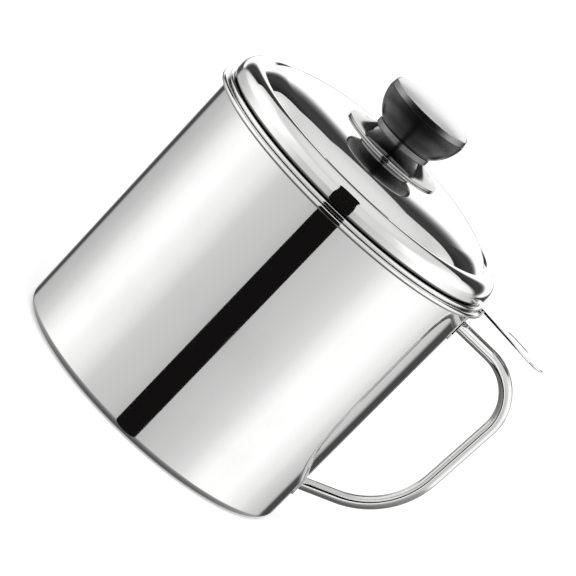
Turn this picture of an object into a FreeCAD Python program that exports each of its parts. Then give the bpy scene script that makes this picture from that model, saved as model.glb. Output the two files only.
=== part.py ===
import FreeCAD, Part
import math
import os
import Sketcher

# Kitchen grease canister with a lift-out strainer, a domed lid, a turned knob and a bent-rod
# handle. The axis is +Z, the origin is the middle of the resting face and the handle points
# along +X. Lengths are in millimetres.

doc = FreeCAD.newDocument("GreaseContainer")

# Driving dimensions: alias, value, what it is.
table = [
    ("bodyRadius", 60.0, "outside radius of the canister wall under its rim"),
    ("baseRadius", 58.6, "outside radius of the wall carried down to the floor"),
    ("bodyGauge", 0.7, "sheet thickness of the canister"),
    ("rimTop", 108.7, "height of the canister's rim"),
    ("baseCorner", 3.0, "outside radius between wall and base"),
    ("mouthRound", 1.4, "radius where the wall turns out into the rim"),
    ("rimReach", 2.1, "from the wall out to the middle of the rolled edge"),
    ("curlRadius", 1.0, "radius of the rolled edge's section"),
    ("rodRadius", 2.55, "radius of the handle rod"),
    ("handleTop", 99.0, "height of the handle's level arm"),
    ("gripReach", 34.5, "from the wall out to the handle's upper corner"),
    ("gripLean", 4.5, "how far the grip leans back in towards its lower corner"),
    ("gripDrop", 68.3, "from the upper corner down to the lower one"),
    ("footRise", 17.1, "height where the sloping arm meets the wall"),
    ("upperBend", 18.5, "centreline radius of the upper bend"),
    ("lowerBend", 34.0, "centreline radius of the lower bend"),
    ("plateGauge", 0.6, "thickness of the handle's weld plates"),
    ("plateWidth", 10.0, "width of the weld plates"),
    ("upperPlateHeight", 11.5, "height of the upper weld plate"),
    ("lowerPlateHeight", 8.4, "height of the lower weld plate"),
    ("plateCorner", 2.6, "corner radius of the weld plates"),
    ("seatGap", 0.1, "gap under each piece that lifts off"),
    ("cupGauge", 0.6, "sheet thickness of the strainer cup"),
    ("cupClearance", 0.8, "gap between the strainer cup and the canister's mouth"),
    ("cupTaper", 1.0, "how much the cup narrows down to its floor"),
    ("cupDepth", 21.0, "from the canister's rim down to the underside of the cup"),
    ("cupCorner", 2.0, "outside radius between the cup's wall and floor"),
    ("cupMouthRound", 1.0, "radius where the cup's wall turns out into its flange"),
    ("flangeReach", 2.0, "from the cup's wall out to the middle of its hem"),
    ("hemRadius", 0.8, "radius of the hem's section"),
    ("cupLedge", 6.7, "width of the ledge left around the window in the cup's floor"),
    ("netBorder", 3.2, "solid border of the net that is clamped"),
    ("netGauge", 0.5, "thickness of the net"),
    ("netPitch", 6.2, "spacing of the net's wires"),
    ("netWire", 1.1, "width of the net's wires"),
    ("clampGauge", 0.6, "thickness of the clamp ring"),
    ("clampGap", 0.3, "gap between the clamp ring and the cup's corner"),
    ("tabLength", 32.0, "from the hem's middle out to the tab's tip"),
    ("tabRootWidth", 8.8, "width of the tab at the hem"),
    ("tabEndWidth", 12.4, "width of the tab at its round end"),
    ("tabGauge", 1.0, "thickness of the tab"),
    ("tabTilt", 3.3, "how many degrees the tab falls away from level"),
    ("dentLength", 13.6, "length of the thumb dent in the tab"),
    ("dentWidth", 6.6, "width of the thumb dent"),
    ("dentDepth", 0.3, "depth of the thumb dent"),
    ("lidOverhang", 0.3, "how far the lid's flank stands out past the canister's wall"),
    ("lidGauge", 0.6, "sheet thickness of the lid"),
    ("lidFlank", 3.0, "height of the lid's upright flank"),
    ("lidFold", 1.55, "radius of the fold under the flank"),
    ("shoulderRound", 6.0, "radius of the lid's rounded shoulder"),
    ("creaseRound", 1.2, "radius of the shoulder's inner side above the crease"),
    ("creaseRise", 7.8, "from the lid's lower edge up to the crease"),
    ("domeRise", 8.9, "from the crease up to the top of the dome"),
    ("domeSkirt", 7.1, "width of the dome's outer turn, in from the crease"),
    ("domeFall", 4.25, "how far the dome has fallen at that radius"),
    ("seatMargin", 0.4, "reach of the dome's flat seat past the knob's foot"),
    ("neckClearance", 0.3, "gap between the lid's neck and the strainer cup"),
    ("neckDepth", 4.9, "how far the neck reaches down into the cup"),
    ("flareRadius", 20.65, "radius of the knob's flared foot"),
    ("flareEdge", 0.45, "radius of the foot's rounded edge"),
    ("flareWaist", 11.2, "radius of the foot under the collar"),
    ("flareHeight", 4.8, "height of the foot"),
    ("flareSweep", 14, "radius of the foot's hollow curve"),
    ("collarRadius", 11.65, "outside radius of the collar"),
    ("collarBore", 9.0, "inside radius of the collar"),
    ("collarHeight", 2.2, "height of the collar"),
    ("spigotGap", 0.1, "gap between the grip's spigot and the collar"),
    ("gripFoot", 11.0, "radius of the knob's grip above the collar"),
    ("gripRadius", 17.15, "largest radius of the knob's grip"),
    ("gripHeight", 11.9, "height of the grip above the collar"),
    ("bezelStep", 0.2, "how far the bezel stands back from the grip"),
    ("bezelTopStep", 0.4, "how far the bezel's top edge stands back"),
    ("bezelHeight", 2.2, "height of the bezel"),
    ("bezelBore", 12.0, "inside radius of the bezel"),
    ("bezelLip", 0.35, "width of the bezel's lip around the cap"),
    ("capGauge", 0.8, "thickness of the knob's cap"),
    ("capRise", 2.4, "how far the cap is domed"),
    ("capGap", 0.05, "gap around the cap in its bezel"),
    ("screwRadius", 2.0, "radius of the knob's screw"),
    ("screwReach", 10.5, "from the dome's top to the end of the screw"),
    ("headRadius", 3.9, "radius of the screw's head"),
    ("headHeight", 2.2, "height of the screw's head"),
    ("slotWidth", 0.9, "width of each arm of the screw's cross"),
    ("slotDepth", 1.2, "depth of the screw's cross"),
    ("holeGap", 0.2, "gap around the screw where it passes through"),
    ("washerRadius", 5.0, "outside radius of the washer"),
    ("washerGauge", 0.8, "thickness of the washer"),
    ("insertRadius", 3.4, "outside radius of the threaded insert"),
    ("insertLength", 8.0, "length of the threaded insert"),
    ("threadGap", 0.05, "gap between screw and insert in place of the thread"),
]

sheet = doc.addObject("Spreadsheet::Sheet", "Sizes")
for row, (alias, value, note) in enumerate(table, start=1):
    sheet.set(f"A{row}", note)
    sheet.set(f"B{row}", str(value))
    sheet.setAlias(f"B{row}", alias)
doc.recompute()


class Size:
    # A length that carries both its value and the expression that binds it to the sheet.

    def __init__(self, value, words):
        self.value = float(value)
        self.words = words

    def join(self, sign, other, value):
        return Size(value, f"({self.words} {sign} {asSize(other).words})")

    def __add__(self, other):
        return self.join("+", other, self.value + asSize(other).value)

    def __sub__(self, other):
        return self.join("-", other, self.value - asSize(other).value)

    def __mul__(self, other):
        return self.join("*", other, self.value * asSize(other).value)

    def __truediv__(self, other):
        return self.join("/", other, self.value / asSize(other).value)

    def root(self):
        return Size(math.sqrt(self.value), f"sqrt({self.words})")

    def __neg__(self):
        return Size(-self.value, f"(0 - {self.words})")


def asSize(length):
    if isinstance(length, Size):
        return length
    return Size(length, str(length))


def cell(alias):
    return Size(sheet.get(alias), f"Sizes.{alias}")


size = {alias: cell(alias) for alias, value, note in table}
zero = asSize(0)


def newBody(label):
    body = doc.addObject("PartDesign::Body", label)
    body.Label = label
    body.Placement = FreeCAD.Placement()
    return body


def originPlane(body, role):
    for feature in body.Origin.OriginFeatures:
        if feature.Role == role:
            return feature
    raise ValueError(role)


def newSketch(body, name, role, lift=zero):
    # A sketch on one of the body's own planes, moved along the plane's normal by lift.
    sketch = body.newObject("Sketcher::SketchObject", name)
    sketch.AttachmentSupport = [(originPlane(body, role), "")]
    sketch.MapMode = "FlatFace"
    if lift.words != "0":
        sketch.setExpression("AttachmentOffset.Base.z", lift.words)
    return sketch


def bindPoint(sketch, geometry, end, x, y):
    # Holds one point of the sketch at (x, y), measured from the sketch's origin.
    for kind, axis, length in (("DistanceX", -2, x), ("DistanceY", -1, y)):
        if length.words == "0":
            sketch.addConstraint(Sketcher.Constraint("PointOnObject", geometry, end, axis))
            continue
        origin, point = (-1, 1), (geometry, end)
        words = length.words
        if length.value < 0:
            origin, point = point, origin
            words = f"0 - {length.words}"
        index = sketch.addConstraint(
            Sketcher.Constraint(kind, *origin, *point, abs(length.value))
        )
        sketch.setExpression(f"Constraints[{index}]", words)


def bindRadius(sketch, geometry, radius):
    index = sketch.addConstraint(Sketcher.Constraint("Radius", geometry, radius.value))
    sketch.setExpression(f"Constraints[{index}]", radius.words)


def arcBetween(start, finish, radius, side):
    # The short arc from start to finish; side is 1 where its centre lies to the left.
    chord = finish - start
    half = chord.Length / 2
    left = FreeCAD.Vector(-chord.y, chord.x, 0) / chord.Length
    reach = math.sqrt(max(radius * radius - half * half, 0.0))
    centre = start + chord / 2 + left * (reach * side)
    first, last = (start, finish) if side > 0 else (finish, start)
    begin = math.atan2(first.y - centre.y, first.x - centre.x)
    end = math.atan2(last.y - centre.y, last.x - centre.x)
    circle = Part.Circle(centre, FreeCAD.Vector(0, 0, 1), radius)
    return Part.ArcOfCircle(circle, begin, end)


def drawLoop(sketch, corners):
    # A closed outline. A corner is (x, y), reached by a line, or (x, y, radius, side),
    # reached by an arc whose centre lies to the left (1) or right (-1) of the way there.
    spots = [FreeCAD.Vector(corner[0].value, corner[1].value, 0) for corner in corners]
    ends = []
    geometries = []
    for index, corner in enumerate(corners):
        start, finish = spots[index - 1], spots[index]
        if len(corner) == 2:
            curve = Part.LineSegment(start, finish)
            ends.append((1, 2))
        else:
            curve = arcBetween(start, finish, corner[2].value, corner[3])
            ends.append((1, 2) if corner[3] > 0 else (2, 1))
        geometries.append(sketch.addGeometry(curve, False))
    for index, corner in enumerate(corners):
        following = (index + 1) % len(corners)
        sketch.addConstraint(Sketcher.Constraint(
            "Coincident", geometries[index], ends[index][1],
            geometries[following], ends[following][0],
        ))
        bindPoint(sketch, geometries[index], ends[index][1], corner[0], corner[1])
        if len(corner) > 2:
            bindRadius(sketch, geometries[index], corner[2])


def drawBentLine(sketch, stops, radii):
    # An open path from the first stop to the last, rounded at each stop between them.
    spots = [FreeCAD.Vector(x.value, y.value, 0) for x, y in stops]
    lines, arcs, tangents = [], [], [spots[0]]
    for before, corner, after, radius in zip(spots, spots[1:], spots[2:], radii):
        back = (before - corner).normalize()
        ahead = (after - corner).normalize()
        half = back.getAngle(ahead) / 2
        cut = radius.value / math.tan(half)
        tangents += [corner + back * cut, corner + ahead * cut]
    tangents.append(spots[-1])
    for start, finish in zip(tangents[0::2], tangents[1::2]):
        lines.append(sketch.addGeometry(Part.LineSegment(start, finish), False))
    for index, radius in enumerate(radii):
        start, finish = tangents[2 * index + 1], tangents[2 * index + 2]
        turn = (start - tangents[2 * index]).cross(finish - start).z
        side = 1 if turn > 0 else -1
        arc = sketch.addGeometry(arcBetween(start, finish, radius.value, side), False)
        first, last = (1, 2) if side > 0 else (2, 1)
        arcs.append(arc)
        sketch.addConstraint(Sketcher.Constraint("Tangent", lines[index], 2, arc, first))
        sketch.addConstraint(Sketcher.Constraint("Tangent", arc, last, lines[index + 1], 1))
        bindRadius(sketch, arc, radius)
        corner = sketch.addGeometry(Part.Point(spots[index + 1]), True)
        bindPoint(sketch, corner, 1, *stops[index + 1])
        for line in (lines[index], lines[index + 1]):
            sketch.addConstraint(Sketcher.Constraint("PointOnObject", corner, 1, line))
    bindPoint(sketch, lines[0], 1, *stops[0])
    bindPoint(sketch, lines[-1], 2, *stops[-1])


def turned(body, name, corners, kind="PartDesign::Revolution"):
    # The outline in the XZ plane, turned a whole turn about the canister's axis.
    sketch = newSketch(body, f"{name}Outline", "XZ_Plane")
    drawLoop(sketch, corners)
    feature = body.newObject(kind, name)
    feature.Profile = sketch
    feature.ReferenceAxis = (sketch, ["V_Axis"])
    feature.Angle = 360
    if kind == "PartDesign::Revolution":
        doc.recompute()
        return feature
    before = body.Shape.Volume
    doc.recompute()
    if not body.Shape.Volume < before:
        raise ValueError(f"{body.Label}: {name} cuts nothing")
    return feature


def padded(body, name, sketch, length, both=False):
    feature = body.newObject("PartDesign::Pad", name)
    feature.Profile = sketch
    feature.setExpression("Length", length.words)
    feature.Midplane = both
    doc.recompute()
    return feature


def pocketed(body, name, sketch, depth):
    # A pocket into the body, from its sketch down along the sketch's normal.
    before = body.Shape.Volume
    feature = body.newObject("PartDesign::Pocket", name)
    feature.Profile = sketch
    feature.setExpression("Length", depth.words)
    doc.recompute()
    if not body.Shape.Volume < before:
        feature.Reversed = True
        doc.recompute()
    if not body.Shape.Volume < before:
        raise ValueError(f"{body.Label}: {name} cuts nothing")
    return feature


def rounded(body, name, radius, rings):
    # Rounds the round edges that run at the given (radius, height) pairs.
    base = body.Tip
    names = []
    for index, edge in enumerate(base.Shape.Edges, start=1):
        if not isinstance(edge.Curve, Part.Circle):
            continue
        for ring, height in rings:
            near = abs(edge.Curve.Radius - ring.value) + abs(edge.Curve.Center.z - height.value)
            if near < 0.001 and edge.Length > math.pi * ring.value:
                names.append(f"Edge{index}")
    if len(names) != len(rings):
        raise ValueError(f"{body.Label}: {name} found {len(names)} of {len(rings)} edges")
    feature = body.newObject("PartDesign::Fillet", name)
    feature.Base = (base, names)
    feature.setExpression("Radius", radius.words)
    doc.recompute()
    return feature


def rolledSheet(inner, middle, top, gauge, section):
    # Corners of a level sheet's rolled edge: in under the sheet, round its section, out on top.
    half = section - gauge
    meet = middle - (section * section - half * half).root()
    return [
        (inner, top - gauge),
        (meet, top - gauge),
        (middle + section, top - section, section, 1),
        (middle, top, section, 1),
    ]


# Levels and radii that several pieces share.
lipUnder = size["rimTop"] - size["bodyGauge"]
draft = (size["bodyRadius"] - size["baseRadius"]) / lipUnder
curlCentre = size["bodyRadius"] + size["rimReach"]
cupRadius = size["bodyRadius"] - size["bodyGauge"] - size["cupClearance"]
hemCentre = cupRadius + size["flangeReach"]
hemHeight = size["rimTop"] + size["seatGap"] + size["hemRadius"]
flangeTop = hemHeight + size["hemRadius"]
cupFloor = size["rimTop"] - size["cupDepth"]
cupFootRadius = cupRadius - size["cupTaper"]
netWindow = cupFootRadius - size["cupLedge"]
lidRadius = size["bodyRadius"] + size["lidOverhang"]
lidBottom = flangeTop + size["seatGap"]
flankTop = lidBottom + size["lidFlank"]
creaseHeight = lidBottom + size["creaseRise"]
domeTop = creaseHeight + size["domeRise"]
collarBottom = domeTop + size["flareHeight"]
collarTop = collarBottom + size["collarHeight"]
gripTop = collarTop + size["gripHeight"]
bezelTop = gripTop + size["bezelHeight"]


def wallAt(height, outward=zero):
    # Radius of the canister's outside at a height, plus a step outward.
    return size["baseRadius"] + draft * height + outward


def canisterBody():
    # Drawn shell with a rounded foot. Its wall turns out into a rolled rim.
    body = newBody("canister_body")
    gauge = size["bodyGauge"]
    insideFoot = wallAt(gauge) - gauge
    insideMouth = size["bodyRadius"] - gauge
    turned(body, "shell", [
        (zero, zero),
        (size["baseRadius"], zero),
        *rolledSheet(size["bodyRadius"], curlCentre, size["rimTop"], gauge, size["curlRadius"]),
        (insideMouth, size["rimTop"]),
        (insideFoot, gauge),
        (zero, gauge),
    ])
    rounded(body, "footRound", size["baseCorner"], [(size["baseRadius"], zero)])
    rounded(body, "innerFootRound", size["baseCorner"] - gauge, [(insideFoot, gauge)])
    rounded(body, "mouthRound", size["mouthRound"], [(insideMouth, size["rimTop"])])
    return body


def handleRod():
    # Round rod bent into a D: a level arm, a grip that leans in and a sloping arm.
    body = newBody("handle_rod")
    inside = size["bodyRadius"] * 0.9
    upperX = size["bodyRadius"] + size["gripReach"]
    lowerX = upperX - size["gripLean"]
    lowerZ = size["handleTop"] - size["gripDrop"]
    slope = (lowerZ - size["footRise"]) / (lowerX - size["baseRadius"])
    path = newSketch(body, "path", "XZ_Plane")
    drawBentLine(
        path,
        [
            (inside, size["handleTop"]),
            (upperX, size["handleTop"]),
            (lowerX, lowerZ),
            (inside, lowerZ - slope * (lowerX - inside)),
        ],
        [size["upperBend"], size["lowerBend"]],
    )
    section = newSketch(body, "section", "YZ_Plane", inside)
    flat = FreeCAD.Vector(0, 0, 1)
    middle = FreeCAD.Vector(0, size["handleTop"].value, 0)
    ring = section.addGeometry(Part.Circle(middle, flat, size["rodRadius"].value), False)
    bindPoint(section, ring, 3, zero, size["handleTop"])
    bindRadius(section, ring, size["rodRadius"])
    pipe = body.newObject("PartDesign::AdditivePipe", "rod")
    pipe.Profile = section
    pipe.Spine = (path, [])
    doc.recompute()
    turned(body, "plateSeat", [
        (zero, zero),
        (wallAt(zero, size["plateGauge"]), zero),
        (wallAt(size["rimTop"], size["plateGauge"]), size["rimTop"]),
        (zero, size["rimTop"]),
    ], "PartDesign::Groove")
    return body


def weldPlate(label, middle, tall):
    # Thin plate that follows the wall under one end of the rod.
    body = newBody(label)
    wide = size["plateWidth"] / 2
    high = tall / 2
    corner = size["plateCorner"]
    sketch = newSketch(body, "face", "YZ_Plane", size["baseRadius"] * 0.8)
    drawLoop(sketch, [
        (wide - corner, middle - high),
        (wide, middle - high + corner, corner, 1),
        (wide, middle + high - corner),
        (wide - corner, middle + high, corner, 1),
        (-wide + corner, middle + high),
        (-wide, middle + high - corner, corner, 1),
        (-wide, middle - high + corner),
        (-wide + corner, middle - high, corner, 1),
    ])
    padded(body, "blank", sketch, size["bodyRadius"] / 2)
    turned(body, "wallSide", [
        (zero, zero),
        (wallAt(zero), zero),
        (wallAt(size["rimTop"]), size["rimTop"]),
        (zero, size["rimTop"]),
    ], "PartDesign::Groove")
    far = size["bodyRadius"] * 2
    turned(body, "rodSide", [
        (wallAt(zero, size["plateGauge"]), zero),
        (far, zero),
        (far, size["rimTop"]),
        (wallAt(size["rimTop"], size["plateGauge"]), size["rimTop"]),
    ], "PartDesign::Groove")
    return body


def strainerCup():
    # Shallow cup that hangs from the canister's rim by a hemmed flange.
    body = newBody("strainer_cup")
    gauge = size["cupGauge"]
    turned(body, "shell", [
        (netWindow, cupFloor),
        (cupFootRadius, cupFloor),
        *rolledSheet(cupRadius, hemCentre, flangeTop, gauge, size["hemRadius"]),
        (cupRadius - gauge, flangeTop),
        (cupFootRadius - gauge, cupFloor + gauge),
        (netWindow, cupFloor + gauge),
    ])
    rounded(body, "footRound", size["cupCorner"], [(cupFootRadius, cupFloor)])
    rounded(body, "innerFootRound", size["cupCorner"] - gauge,
            [(cupFootRadius - gauge, cupFloor + gauge)])
    rounded(body, "mouthRound", size["cupMouthRound"], [(cupRadius - gauge, flangeTop)])
    return body


def strainerNet():
    # Flat wire net: one round face with a square window between each pair of wires.
    net = doc.addObject("Part::Feature", "strainer_net")
    net.Label = "strainer_net"
    pitch = size["netPitch"].value
    half = (pitch - size["netWire"].value) / 2
    window = netWindow.value
    up = FreeCAD.Vector(0, 0, 1)
    edge = Part.Circle(FreeCAD.Vector(), up, window + size["netBorder"].value)
    wires = [Part.Wire(edge.toShape())]
    count = int(window / pitch) + 1
    steps = [(step + 0.5) * pitch for step in range(-count, count)]
    for x in steps:
        for y in steps:
            if math.hypot(abs(x) + half, abs(y) + half) > window:
                continue
            corners = [
                FreeCAD.Vector(x - half, y - half, 0),
                FreeCAD.Vector(x - half, y + half, 0),
                FreeCAD.Vector(x + half, y + half, 0),
                FreeCAD.Vector(x + half, y - half, 0),
            ]
            wires.append(Part.makePolygon(corners + corners[:1]))
    print("net windows", len(wires) - 1)
    face = Part.Face(wires, "Part::FaceMakerBullseye")
    net.Shape = face.extrude(up * size["netGauge"].value)
    net.Placement = FreeCAD.Placement()
    net.setExpression("Placement.Base.z", (cupFloor + size["cupGauge"]).words)
    return net


def strainerClampRing():
    # Flat ring that clamps the net's border down on the cup's floor.
    body = newBody("strainer_clamp_ring")
    bottom = cupFloor + size["cupGauge"] + size["netGauge"]
    top = bottom + size["clampGauge"]
    outside = cupFootRadius - size["cupCorner"] - size["clampGap"]
    turned(body, "ring", [
        (netWindow, bottom),
        (outside, bottom),
        (outside, top),
        (netWindow, top),
    ])
    return body


def strainerTab():
    # Lifting tab: widens outward, ends round, has a thumb dent and is coped to the hem.
    body = newBody("strainer_tab_blank")
    root = size["tabRootWidth"] / 2
    end = size["tabEndWidth"] / 2
    straight = size["tabLength"] - end
    sketch = newSketch(body, "plan", "XY_Plane")
    drawLoop(sketch, [
        (zero, -root),
        (straight, -end),
        (straight + end, zero, end, 1),
        (straight, end, end, 1),
        (zero, root),
    ])
    padded(body, "blade", sketch, size["tabGauge"], True)
    dent = newSketch(body, "dentPlan", "XY_Plane", size["tabGauge"] / 2)
    rise = size["dentWidth"] / 2
    first = straight - size["dentLength"] + rise
    last = straight - rise
    drawLoop(dent, [
        (last, -rise),
        (last + rise, zero, rise, 1),
        (last, rise, rise, 1),
        (first, rise),
        (first - rise, zero, rise, 1),
        (first, -rise, rise, 1),
    ])
    pocketed(body, "dent", dent, size["dentDepth"])
    body.Placement = FreeCAD.Placement(
        FreeCAD.Vector(), FreeCAD.Rotation(FreeCAD.Vector(0, 1, 0), size["tabTilt"].value)
    )
    body.setExpression("Placement.Base.x", hemCentre.words)
    body.setExpression("Placement.Base.z", hemHeight.words)
    body.setExpression("Placement.Rotation.Angle", size["tabTilt"].words)
    hem = doc.addObject("Part::Torus", "hemShape")
    hem.setExpression("Radius1", hemCentre.words)
    hem.setExpression("Radius2", size["hemRadius"].words)
    hem.setExpression("Placement.Base.z", hemHeight.words)
    core = doc.addObject("Part::Cylinder", "hemCore")
    core.setExpression("Radius", hemCentre.words)
    core.setExpression("Height", (size["hemRadius"] * 4).words)
    core.setExpression("Placement.Base.z", (hemHeight - size["hemRadius"] * 2).words)
    cope = doc.addObject("Part::Fuse", "cope")
    cope.Base = hem
    cope.Tool = core
    tab = doc.addObject("Part::Cut", "strainer_tab")
    tab.Label = "strainer_tab"
    tab.Base = body
    tab.Tool = cope
    doc.recompute()
    return tab


def lidShell():
    # Spun lid: flat seat, shallow dome, sharp crease, rounded shoulder, upright flank and,
    # folded under, a neck that drops into the strainer cup.
    body = newBody("lid_shell")
    gauge = size["lidGauge"]
    hole = size["screwRadius"] + size["holeGap"]
    seat = size["flareRadius"] + size["seatMargin"]
    fold = size["lidFold"]
    crease = lidRadius - size["shoulderRound"] - size["creaseRound"]
    domeBreak = crease - size["domeSkirt"]
    run = domeBreak - seat
    fall = size["domeFall"]
    breakHeight = domeTop - fall
    crown = (run * run + fall * fall) / (fall * 2)
    # The outer turn leaves the crown along its tangent and ends at the crease.
    skirt = size["domeSkirt"]
    drop = breakHeight - creaseHeight
    turn = (skirt * skirt + drop * drop) * crown / ((drop * (crown - fall) - skirt * run) * 2)
    crest = lidRadius - size["shoulderRound"]
    crestHeight = flankTop + size["shoulderRound"]
    neck = cupRadius - size["cupGauge"] - size["neckClearance"]
    turned(body, "shell", [
        (hole, domeTop),
        (hole, domeTop - gauge),
        (seat, domeTop - gauge),
        (domeBreak, breakHeight - gauge, crown, -1),
        (crease, creaseHeight - gauge * 1.3, turn, -1),
        (crest, crestHeight - gauge),
        (lidRadius - gauge, flankTop, size["shoulderRound"] - gauge, -1),
        (lidRadius - gauge, lidBottom + fold),
        (lidRadius - fold, lidBottom + gauge, fold - gauge, -1),
        (neck - gauge, lidBottom + gauge),
        (neck - gauge, lidBottom - size["neckDepth"]),
        (neck, lidBottom - size["neckDepth"]),
        (neck, lidBottom),
        (lidRadius - fold, lidBottom),
        (lidRadius, lidBottom + fold, fold, 1),
        (lidRadius, flankTop),
        (crest, crestHeight, size["shoulderRound"], 1),
        (crease, creaseHeight, size["creaseRound"], 1),
        (domeBreak, breakHeight, turn, 1),
        (seat, domeTop, crown, 1),
    ])
    return body


def knobFlare():
    # Flared steel foot of the knob: a hollow curve out to a thin rounded edge.
    body = newBody("knob_flare")
    hole = size["screwRadius"] + size["holeGap"]
    edge = size["flareEdge"]
    rimX = size["flareRadius"] - edge
    turned(body, "foot", [
        (hole, domeTop),
        (rimX, domeTop),
        (size["flareRadius"], domeTop + edge, edge, 1),
        (rimX, domeTop + edge * 2, edge, 1),
        (size["flareWaist"], collarBottom, size["flareSweep"], -1),
        (hole, collarBottom),
    ])
    return body


def knobCollar():
    body = newBody("knob_collar")
    turned(body, "collar", [
        (size["collarBore"], collarBottom),
        (size["collarRadius"], collarBottom),
        (size["collarRadius"], collarTop),
        (size["collarBore"], collarTop),
    ])
    return body


def knobGrip():
    # Moulded bowl-shaped grip, with a spigot through the collar and a bore for its insert.
    body = newBody("knob_grip")
    spigot = size["collarBore"] - size["spigotGap"]
    run = size["gripRadius"] - size["gripFoot"]
    bowl = (run * run + size["gripHeight"] * size["gripHeight"]) / (run * 2)
    boreTop = collarBottom + size["insertLength"]
    turned(body, "bowl", [
        (size["insertRadius"], collarBottom),
        (spigot, collarBottom),
        (spigot, collarTop),
        (size["gripFoot"], collarTop),
        (size["gripRadius"], gripTop, bowl, 1),
        (zero, gripTop),
        (zero, boreTop),
        (size["insertRadius"], boreTop),
    ])
    return body


def knobBezel():
    # Ring on top of the grip that holds the cap.
    body = newBody("knob_bezel")
    foot = size["gripRadius"] - size["bezelStep"]
    top = size["gripRadius"] - size["bezelTopStep"]
    pocket = top - size["bezelLip"]
    ledge = bezelTop - size["capGauge"]
    turned(body, "ring", [
        (size["bezelBore"], gripTop),
        (foot, gripTop),
        (top, bezelTop),
        (pocket, bezelTop),
        (pocket, ledge),
        (size["bezelBore"], ledge),
    ])
    return body


def knobCap():
    # Thin domed steel disc that closes the top of the knob.
    body = newBody("knob_cap")
    rim = size["gripRadius"] - size["bezelTopStep"] - size["bezelLip"] - size["capGap"]
    gauge = size["capGauge"]
    rise = size["capRise"]
    dome = (rim * rim + rise * rise) / (rise * 2)
    turned(body, "disc", [
        (zero, bezelTop + rise - gauge),
        (rim, bezelTop - gauge, dome, -1),
        (rim, bezelTop),
        (zero, bezelTop + rise, dome, 1),
    ])
    return body


def knobInsert():
    # Threaded insert moulded into the grip.
    body = newBody("knob_insert")
    bore = size["screwRadius"] + size["threadGap"]
    turned(body, "sleeve", [
        (bore, collarBottom),
        (size["insertRadius"], collarBottom),
        (size["insertRadius"], collarBottom + size["insertLength"]),
        (bore, collarBottom + size["insertLength"]),
    ])
    return body


def knobWasher():
    body = newBody("knob_washer")
    top = domeTop - size["lidGauge"]
    bore = size["screwRadius"] + size["holeGap"]
    turned(body, "disc", [
        (bore, top - size["washerGauge"]),
        (size["washerRadius"], top - size["washerGauge"]),
        (size["washerRadius"], top),
        (bore, top),
    ])
    return body


def knobScrew():
    # Pan-head screw from inside the lid, with a cross in its head.
    body = newBody("knob_screw")
    headTop = domeTop - size["lidGauge"] - size["washerGauge"]
    headBottom = headTop - size["headHeight"]
    tip = domeTop + size["screwReach"]
    turned(body, "shank", [
        (zero, headBottom),
        (size["headRadius"], headBottom),
        (size["headRadius"], headTop),
        (size["screwRadius"], headTop),
        (size["screwRadius"], tip),
        (zero, tip),
    ])
    rounded(body, "headRound", size["headHeight"] / 2, [(size["headRadius"], headBottom)])
    arm = size["headRadius"] * 0.6
    for name, wide, tall in (
        ("crossX", arm, size["slotWidth"] / 2),
        ("crossY", size["slotWidth"] / 2, arm),
    ):
        sketch = newSketch(body, f"{name}Plan", "XY_Plane", headBottom)
        drawLoop(sketch, [
            (wide, -tall),
            (wide, tall),
            (-wide, tall),
            (-wide, -tall),
        ])
        pocketed(body, name, sketch, size["slotDepth"])
    return body


parts = [
    canisterBody(),
    handleRod(),
    weldPlate("upper_handle_plate", size["handleTop"], size["upperPlateHeight"]),
    weldPlate("lower_handle_plate", size["footRise"], size["lowerPlateHeight"]),
    strainerCup(),
    strainerNet(),
    strainerClampRing(),
    strainerTab(),
    lidShell(),
    knobFlare(),
    knobCollar(),
    knobGrip(),
    knobBezel(),
    knobCap(),
    knobInsert(),
    knobWasher(),
    knobScrew(),
]

doc.recompute()
for thing in doc.Objects:
    if "Invalid" in thing.State or "Error" in thing.State:
        raise ValueError(f"{thing.Label} failed: {thing.State}")
for part in parts:
    if part.Shape.isNull() or not part.Shape.isValid():
        raise ValueError(f"{part.Label} has no valid shape")

os.makedirs("parts", exist_ok=True)
for part in parts:
    part.Shape.exportStep(f"parts/{part.Label}.step")
    print(part.Label, round(part.Shape.Volume, 1), "mm3", len(part.Shape.Solids), "solid")
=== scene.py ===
import math

import bmesh
import bpy
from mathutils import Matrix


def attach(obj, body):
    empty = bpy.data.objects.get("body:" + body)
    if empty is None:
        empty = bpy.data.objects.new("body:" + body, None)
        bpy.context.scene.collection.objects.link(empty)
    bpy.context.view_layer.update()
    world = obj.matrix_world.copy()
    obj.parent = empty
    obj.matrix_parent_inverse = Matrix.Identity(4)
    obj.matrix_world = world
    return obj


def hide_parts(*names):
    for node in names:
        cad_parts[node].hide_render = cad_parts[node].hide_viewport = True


# Stainless grease container with strainer and domed lid. Blender shapes and finishes, in metres.

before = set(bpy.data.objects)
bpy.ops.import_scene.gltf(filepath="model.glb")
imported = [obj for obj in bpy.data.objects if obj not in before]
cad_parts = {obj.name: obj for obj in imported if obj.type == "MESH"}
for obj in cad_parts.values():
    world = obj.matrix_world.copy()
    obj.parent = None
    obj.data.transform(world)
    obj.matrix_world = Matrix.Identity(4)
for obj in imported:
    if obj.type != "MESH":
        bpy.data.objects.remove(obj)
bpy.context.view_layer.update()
mm = 0.001
mergeReach = 1e-7    # metres: vertices this near become one
findReach = 2e-6     # metres: how far a vertex may lie from the ring or loop it is looked for on
print("frame loaded:", len(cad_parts), "nodes")


cameraView = {"elevation": 12.725, "distance": 1.5, "aimX": 0.006764, "aimZ": 0.065503,
              "fieldOfView": 7.8457, "roll": 43.9, "near": 0.05, "far": 50}


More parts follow.
